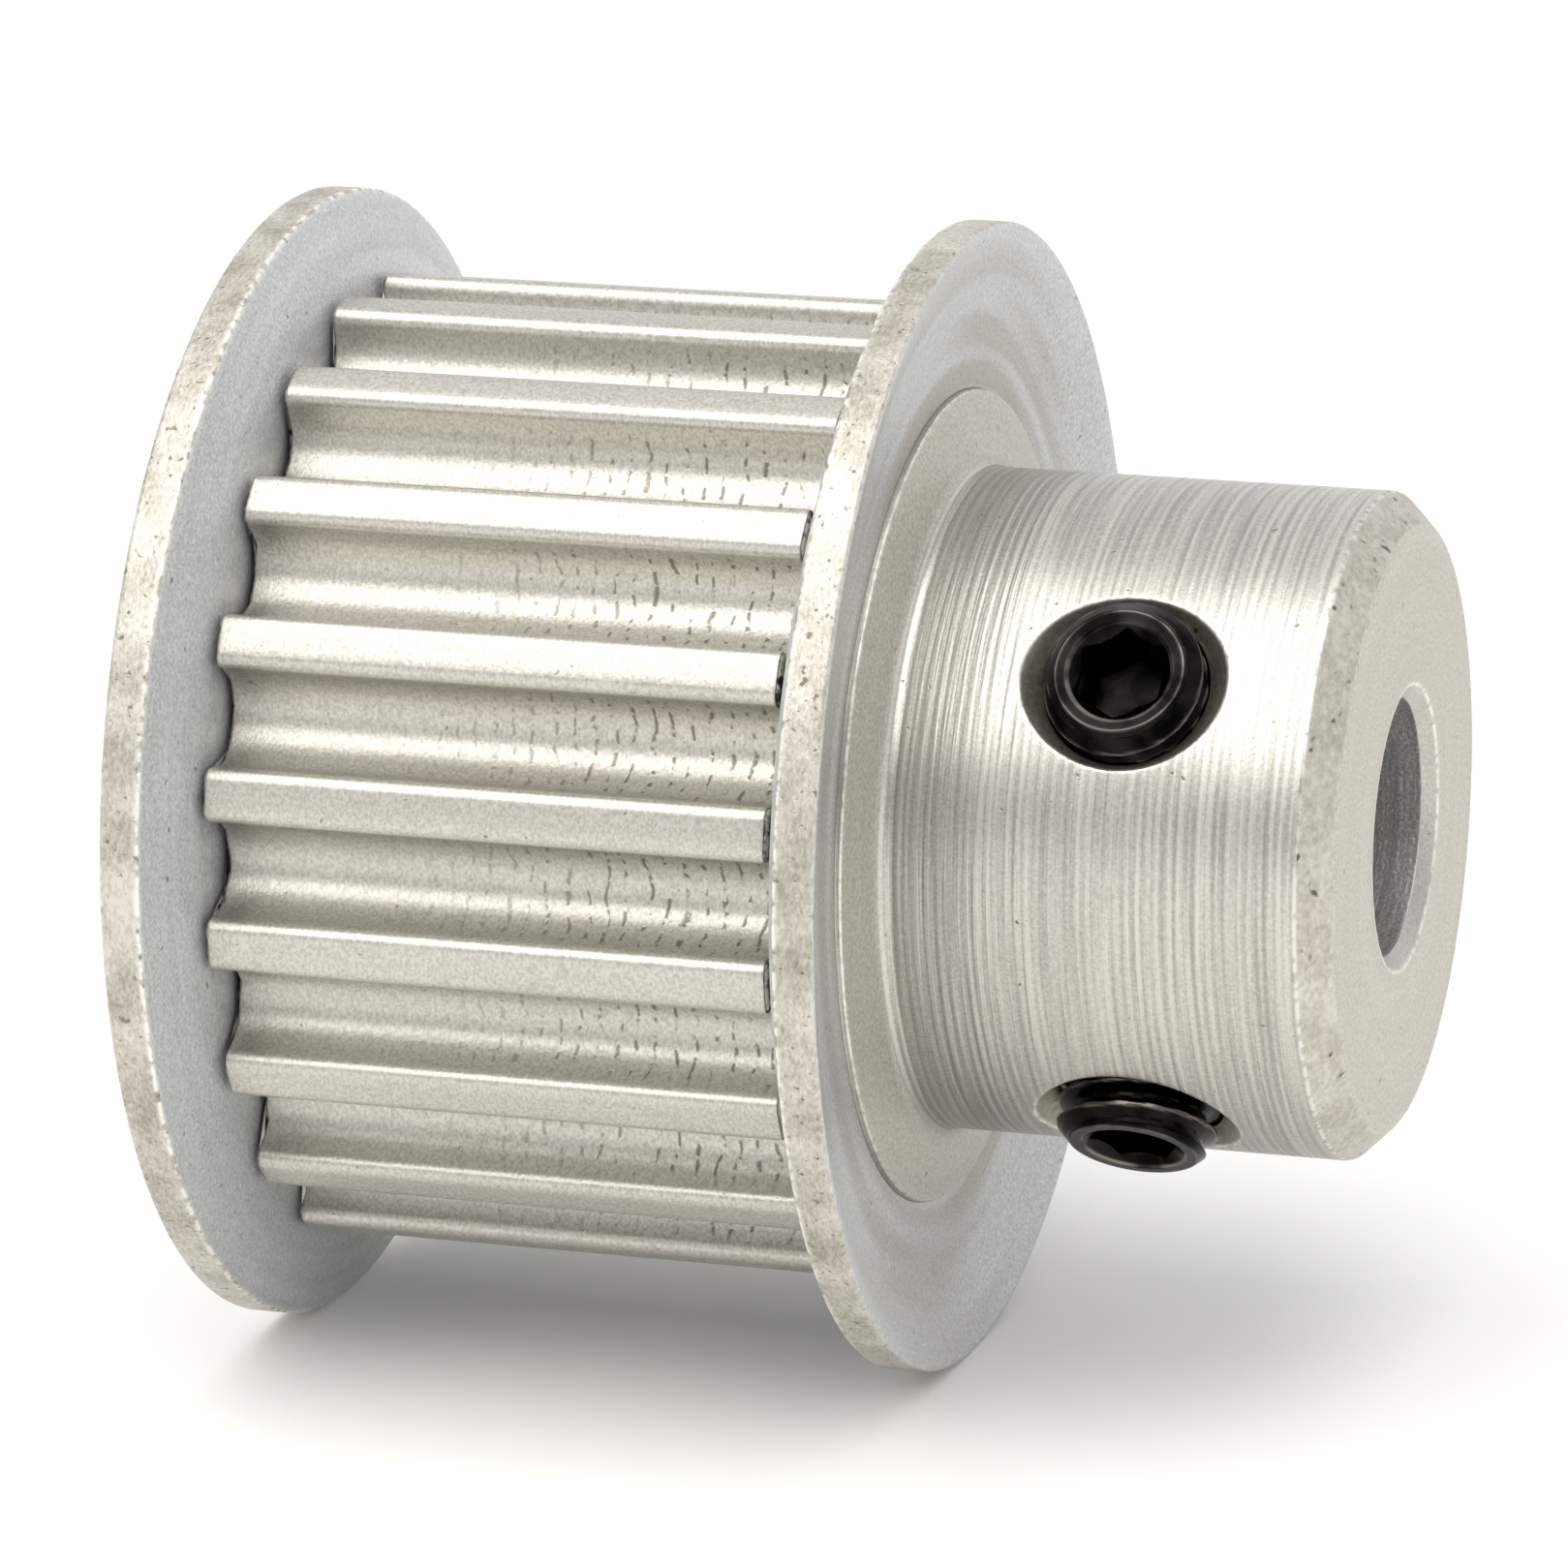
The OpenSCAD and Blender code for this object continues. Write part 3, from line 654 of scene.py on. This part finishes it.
def bodyFinish(centres, normals):
    # 0 toothed ring, 1 turned hub and spigots, 2 end faces, 3 bore, 4 tapped holes, 5 hub's chamfer, 6 tooth ends
    # painted near black as the shadow in the gap to the flanges.
    # Each is picked by a face's place along the bore, its distance from the bore's axis and the way that it faces.
    x, r = centres[:, 0], np.hypot(centres[:, 1], centres[:, 2])
    facingX = np.abs(normals[:, 0])
    ringEnd = body["faceWidth"] / 2
    seat, hubSkin, boreSkin = body["seatX"] - 0.01, body["hubR"] - 0.01, body["boreR"] + 0.02
    finish = np.ones(len(x))
    inRing = np.abs(x) < seat
    finish[inRing] = 0
    # the tooth ends get the painted gap shadow
    finish[inRing & (np.abs(x) > ringEnd - body["endBreak"] - 0.01) & (facingX > 0.5)] = 6
    finish[inRing & (np.abs(x) > ringEnd)] = 6
    hubEnd = x > body["hubX"] - 0.2
    spigotEnd = (np.abs(x) < body["spigotX"] + 0.1) & (np.abs(x) > body["flangeX"])
    finish[(facingX > 0.9) & (hubEnd | spigotEnd)] = 2
    onChamfer = (x > body["hubX"] - body["hubChamfer"]) & (r > body["hubR"] - body["hubChamfer"])
    finish[onChamfer & (facingX > 0.4) & (facingX < 0.9)] = 5
    finish[r < boreSkin] = 3
    for angle in body["holeAngles"]:
        c, s = math.cos(math.radians(angle)), math.sin(math.radians(angle))
        h = -c * centres[:, 1] + s * centres[:, 2]
        q = s * centres[:, 1] + c * centres[:, 2]
        away = np.hypot(x - body["holeX"], q)
        facing = -c * normals[:, 1] + s * normals[:, 2]
        inHole = (away < body["holeR"] + body["countersink"] + 0.2) & (h > body["holeR"]) & (facing < 0.9)
        finish[inHole & (r > boreSkin) & (r < hubSkin)] = 4
    return finish


pulleyMaterials = [
    milledAluminium("milledAluminiumSatin", milledFinish),
    turnedAluminium("turnedAluminiumBright", turnedFinish),
    turnedAluminium("facedAluminiumMatt", facedFinish),
    turnedAluminium("reamedAluminiumBore", boreFinish),
    mattAluminium("tappedAluminiumOlive", holeFinish),
    mattAluminium("chamferedAluminiumScuffed", chamferFinish),
    mattAluminium("toothEndsPaintedGapShadow", gapShadowFinish),
]
bodyPiece = makePiece("pulleyBody", pulleyBody(body), bodyFinish)
for material in pulleyMaterials:
    bodyPiece.data.materials.append(material)
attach(bodyPiece, "pulley")
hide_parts("pulley_body")

flange = {
    "holeR": 12.42, "seatX": 9.05, "faceX": 10.30, "bendR": 15.494, "rimR": 17.988, "lean": 20,
    "sheet": 1.25, "lipFlare": 0.35, "bendRound": 6.0, "rimRound": 0.16, "holeRound": 0.03,
    "columns": 400, "cornerSteps": 7, "supportReach": 0.1, "wornWidth": 0.1, "rimBand": 0.25,
}


def dishedRing(spec, side):
    # A flat ring that bends away from the belt, as a closed profile of rounded corners carried round the bore axis.
    lean = math.radians(spec["lean"])
    leanX = spec["seatX"] + (spec["rimR"] - spec["bendR"]) * math.tan(lean)
    rimX = leanX + spec["sheet"] / math.cos(lean)
    bendRound = spec["bendRound"]
    corners = [
        (spec["seatX"], spec["holeR"], 0),
        (spec["seatX"], spec["bendR"], bendRound),
        (leanX, spec["rimR"], spec["rimRound"]),
        (rimX, spec["rimR"], spec["rimRound"]),
        (spec["faceX"], spec["bendR"] - spec["sheet"] * math.tan(lean / 2), bendRound + spec["sheet"]),
        (spec["faceX"], spec["holeR"] + spec["lipFlare"], spec["holeRound"]),
        (spec["faceX"] - spec["lipFlare"], spec["holeR"], 0),
    ]
    profile = roundCorners(corners, spec["cornerSteps"])
    profile = supportRows(np.concatenate([profile, profile[:1]]), spec["supportReach"])[:-1] * (side, 1)
    angles = np.linspace(0, 2 * math.pi, spec["columns"], endpoint=False)
    points = turned(profile, angles)
    rimEdges = [(leanX, spec["rimR"]), (rimX, spec["rimR"])]
    wear = nearEdges(side * profile[:, :1], profile[:, 1:], rimEdges, spec["wornWidth"])
    return [(points, gridQuads(*points.shape[:2], wrapRows=True), wear)]


def flangeFinish(centres, normals):
    # 0 sheet faces, 1 the cut rim
    r = np.hypot(centres[:, 1], centres[:, 2])
    outward = -(centres[:, 1] * normals[:, 1] + centres[:, 2] * normals[:, 2]) / r
    return ((r > flange["rimR"] - flange["rimBand"]) & (np.abs(outward) > 0.5)).astype(int)


flangeMaterials = [
    turnedAluminium("pressedAluminiumSheet", sheetFinish),
    mattAluminium("shearedAluminiumRim", rimFinish),
]
for name, node, side in (("rearFlange", "rear_flange", -1), ("frontFlange", "front_flange", 1)):
    piece = makePiece(name, dishedRing(flange, side), flangeFinish)
    for material in flangeMaterials:
        piece.data.materials.append(material)
    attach(piece, "pulley")
    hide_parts(node)

screw = {
    "majorR": 2.48, "threadDepth": 0.42, "pitch": 0.8, "length": 6, "hexFlats": 2.5, "hexDepth": 2.5,
    "drillR": 1.0, "drillDepth": 0.25, "mouthR": 1.62, "endR": 1.99, "endEdge": 0.03, "cupR": 1.25, "cupDepth": 0.6,
    "poleR": 0.001, "rowStep": 0.05, "columns": 96, "x": 18.0,
    "mouthDepths": (0.6, 0.5, 0.45, 0.4, 0.36, 0.32, 0.28, 0.2, 0.1, 0.04),
    "crestWear": (0.04, 0.45), "endWear": (0.035, 0.5), "mouthWearAndHighlight": (0.05, 1.0),
}


def setScrew(spec, angle, pointHeight, hexTurn):
    # Rings of points about the screw's axis. The socket's radius is the larger of the hexagon and the mouth's cone,
    # and the outside is the smaller of the chamfered blank and a thread that climbs one pitch a turn.
    bearing = np.linspace(0, 2 * math.pi, spec["columns"], endpoint=False)
    sixth = math.pi / 3
    hexR = spec["hexFlats"] / 2 / np.cos((bearing - math.radians(hexTurn)) % sixth - sixth / 2)
    top = pointHeight + spec["length"]
    bottom = top - spec["hexDepth"]
    same = np.ones_like(bearing)

    # as (radius, height), from the drill's point under the hexagon up to the mouth
    socket = [
        (spec["poleR"] * same, (bottom - spec["drillDepth"]) * same),
        (spec["drillR"] * same, bottom * same),
        (hexR - 0.03, bottom * same),
        (hexR, (bottom + spec["rowStep"]) * same),
    ]
    socket += [(np.maximum(hexR, spec["mouthR"] - depth), (top - depth) * same) for depth in spec["mouthDepths"]]
    # the flat end, closely ringed beside both of its edges
    endRings = [(spec["mouthR"] + out, depth) for out, depth in ((0.01, 0.012), (0.025, 0.003), (0.04, 0), (0.09, 0))]
    endRings += [(spec["endR"] - back, 0) for back in (0.13, 0.08, 0.05)]
    socket += [(r * same, (top - depth) * same) for r, depth in endRings]
    socketR, socketH = (np.stack(part) for part in zip(*socket))

    # outside, from the socket end down to the cup's rim
    step, edge = spec["rowStep"], spec["endEdge"]
    endRows = top - np.array([0.0, 0.01, 0.02, 0.035])
    h = np.concatenate([endRows, np.arange(top - step, pointHeight + step, -step), [pointHeight + 0.02]])[:, None]
    fromTop, fromPoint = top - h, h - pointHeight
    blank = np.minimum(spec["endR"] - edge + fromTop + np.minimum(fromTop, edge), spec["cupR"] + fromPoint)
    thread = spec["majorR"] - spec["threadDepth"] * threadWave(h / spec["pitch"] - bearing / (2 * math.pi))
    outside = np.minimum(blank, thread)
    h = h + 0 * bearing

    # the hollow of the cup, as (radius, height), from its rim in to its middle
    cup = np.array([
        [spec["cupR"] - 0.03, 0.0], [spec["cupR"] - 0.08, 0.03], [0.3, spec["cupDepth"] * 0.8],
        [spec["poleR"], spec["cupDepth"]],
    ]) + (0, pointHeight)
    r = np.concatenate([socketR, outside, cup[:, :1] * same])
    h = np.concatenate([socketH, h, cup[:, 1:] * same])
    points = outwards(r * np.cos(bearing), r * np.sin(bearing), h, angle, spec["x"])
    width, share = spec["crestWear"]
    crest = np.clip((r - spec["majorR"]) / width + 1, 0, 1) * share
    width, share = spec["endWear"]
    endWear = share * nearEdges(h, r, [(top, spec["endR"] - 0.02)], width)
    # bright rubbed metal round the mouth, painted brighter on its lower side as a highlight of the light from above
    width, share = spec["mouthWearAndHighlight"]
    paintedHighlightSide = np.clip(0.6 - np.sin(bearing), 0.15, 1)
    mouthWearAndHighlight = share * paintedHighlightSide * nearEdges(h, r, [(top - 0.03, spec["mouthR"] - 0.02)], width)
    # the wear, with the mouth's painted highlight in it
    wear = np.maximum(crest, np.maximum(endWear, mouthWearAndHighlight))
    patches = [(points, gridQuads(*points.shape[:2]), wear)]
    for ring in (points[:1], points[-1:]):  # each end's smallest ring is closed by a fan to its middle
        middle = np.broadcast_to(ring.mean(1, keepdims=True), ring.shape)
        patches.append((np.concatenate([middle, ring]), gridQuads(2, spec["columns"]), 0.0))
    return patches


screwMaterial = blackOxideSteel("blackOxideSteel", blackFinish)
for name, node, angle, pointHeight, hexTurn in (
    ("upperSetScrew", "upper_set_screw", 36, 4.95, 30),
    ("lowerSetScrew", "lower_set_screw", -54, 5.20, 0),
):
    piece = makePiece(name, setScrew(screw, angle, pointHeight, hexTurn))
    piece.data.materials.append(screwMaterial)
    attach(piece, "upper_screw" if angle > 0 else "lower_screw")
    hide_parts(node)

print("pieces ready")

stand = {
    "floorZ": -17.996, "floorSize": 4000, "floor": "#ebebea", "glow": 0.08,
    "tooth": 0.4, "toothDepth": 0.004, "roughness": 0.9,
}


def paleFloor(spec):
    # A wide flat sheet, as a grid of points at one height.
    line = np.linspace(-0.5, 0.5, 3) * spec["floorSize"]
    x, y = np.meshgrid(line, line, indexing="ij")
    points = np.stack([x, y, np.full_like(x, spec["floorZ"])], -1)
    mesh = bpy.data.meshes.new("floor")
    quads = gridQuads(3, 3, wrapColumns=False).reshape(-1, 4)
    mesh.from_pydata((points.reshape(-1, 3) * mm).tolist(), [], quads.tolist())
    floor = bpy.data.objects.new("floor", mesh)
    bpy.context.scene.collection.objects.link(floor)
    # matt white acrylic lit from below: an even ground with only a faint shadow, with a very fine tooth
    material, tree, place = newMaterial("mattAcrylic")
    tooth = addNode(tree, "ShaderNodeTexNoise", {"Vector": place, "Scale": perMm(spec["tooth"]), "Detail": 2.0})
    bump = addNode(tree, "ShaderNodeBump", {"Height": tooth, "Strength": 1.0, "Distance": spec["toothDepth"] * mm})
    shader = addNode(tree, "ShaderNodeBsdfPrincipled", {
        "Base Color": colour(spec["floor"]), "Normal": bump, "Roughness": spec["roughness"],
        "Emission Color": colour(spec["floor"]), "Emission Strength": spec["glow"],
    })
    addNode(tree, "ShaderNodeOutputMaterial", {"Surface": shader})
    mesh.materials.append(material)


paleFloor(stand)

lamps = {
    "overheadSoftbox": {
        "from": (-50, -750, 1350), "to": (0, 0, 0), "size": (2000, 2000), "radiance": 1.9, "tint": "#fffcf7",
    },
}
for name, spec in lamps.items():
    light = bpy.data.lights.new(name, "AREA")
    light.shape = "RECTANGLE"
    light.size, light.size_y = spec["size"][0] * mm, spec["size"][1] * mm
    # watts that make the sheet glow this bright from every side: pi times its area times its radiance
    light.energy = math.pi * light.size * light.size_y * spec["radiance"]
    light.color = colour(spec["tint"])[:3]
    lamp = bpy.data.objects.new(name, light)
    bpy.context.scene.collection.objects.link(lamp)
    place = Vector(spec["from"]) * mm
    lamp.location = place
    lamp.rotation_euler = (Vector(spec["to"]) * mm - place).to_track_quat("-Z", "Y").to_euler()

studio = {"walls": 0.92, "darkSide": 0.34, "darkFrom": (0.29, -0.93, 0.22), "darkAngles": (38, 8)}


def softStudio(spec):
    # White walls all round, dimmer on the side that the part's front faces: the brightness falls smoothly with the
    # angle between a direction and that side.
    world = bpy.data.worlds.new("softStudio")
    bpy.context.scene.world = world
    world.use_nodes = True
    tree = world.node_tree
    direction = addNode(tree, "ShaderNodeTexCoord").outputs["Generated"]
    toward = addNode(tree, "ShaderNodeVectorMath", {0: direction, 1: spec["darkFrom"]}, operation="DOT_PRODUCT")
    wide, narrow = (math.cos(math.radians(angle)) for angle in spec["darkAngles"])
    strength = addNode(tree, "ShaderNodeMapRange", {
        "Value": toward, "From Min": wide, "From Max": narrow, "To Min": spec["walls"], "To Max": spec["darkSide"],
    }, interpolation_type="SMOOTHSTEP")
    background = tree.nodes["Background"]
    tree.links.new(strength.outputs["Result"], background.inputs["Strength"])
    background.inputs["Color"].default_value = colour("#ffffff")


softStudio(studio)

view = {
    "target": (2.99, 4.76, 1.45), "distance": 274.98, "azimuth": 17.2, "elevation": 13.0,
    "sensor": 36, "lens": 197.3, "shift": (0.0066, -0.0525), "clip": (0.01, 20),
}
azimuth, elevation = math.radians(view["azimuth"]), math.radians(view["elevation"])
level = math.cos(elevation)
back = Vector((math.sin(azimuth) * level, -math.cos(azimuth) * level, math.sin(elevation)))
camera = bpy.data.objects.new("camera", bpy.data.cameras.new("camera"))
bpy.context.scene.collection.objects.link(camera)
camera.data.sensor_width = view["sensor"]
camera.data.lens = view["lens"]
camera.data.shift_x, camera.data.shift_y = view["shift"]
camera.data.clip_start, camera.data.clip_end = view["clip"]
camera.location = (Vector(view["target"]) + back * view["distance"]) * mm
camera.rotation_euler = back.to_track_quat("Z", "Y").to_euler()
bpy.context.scene.camera = camera
bpy.context.scene.view_settings.view_transform = "Standard"

print("scene ready")
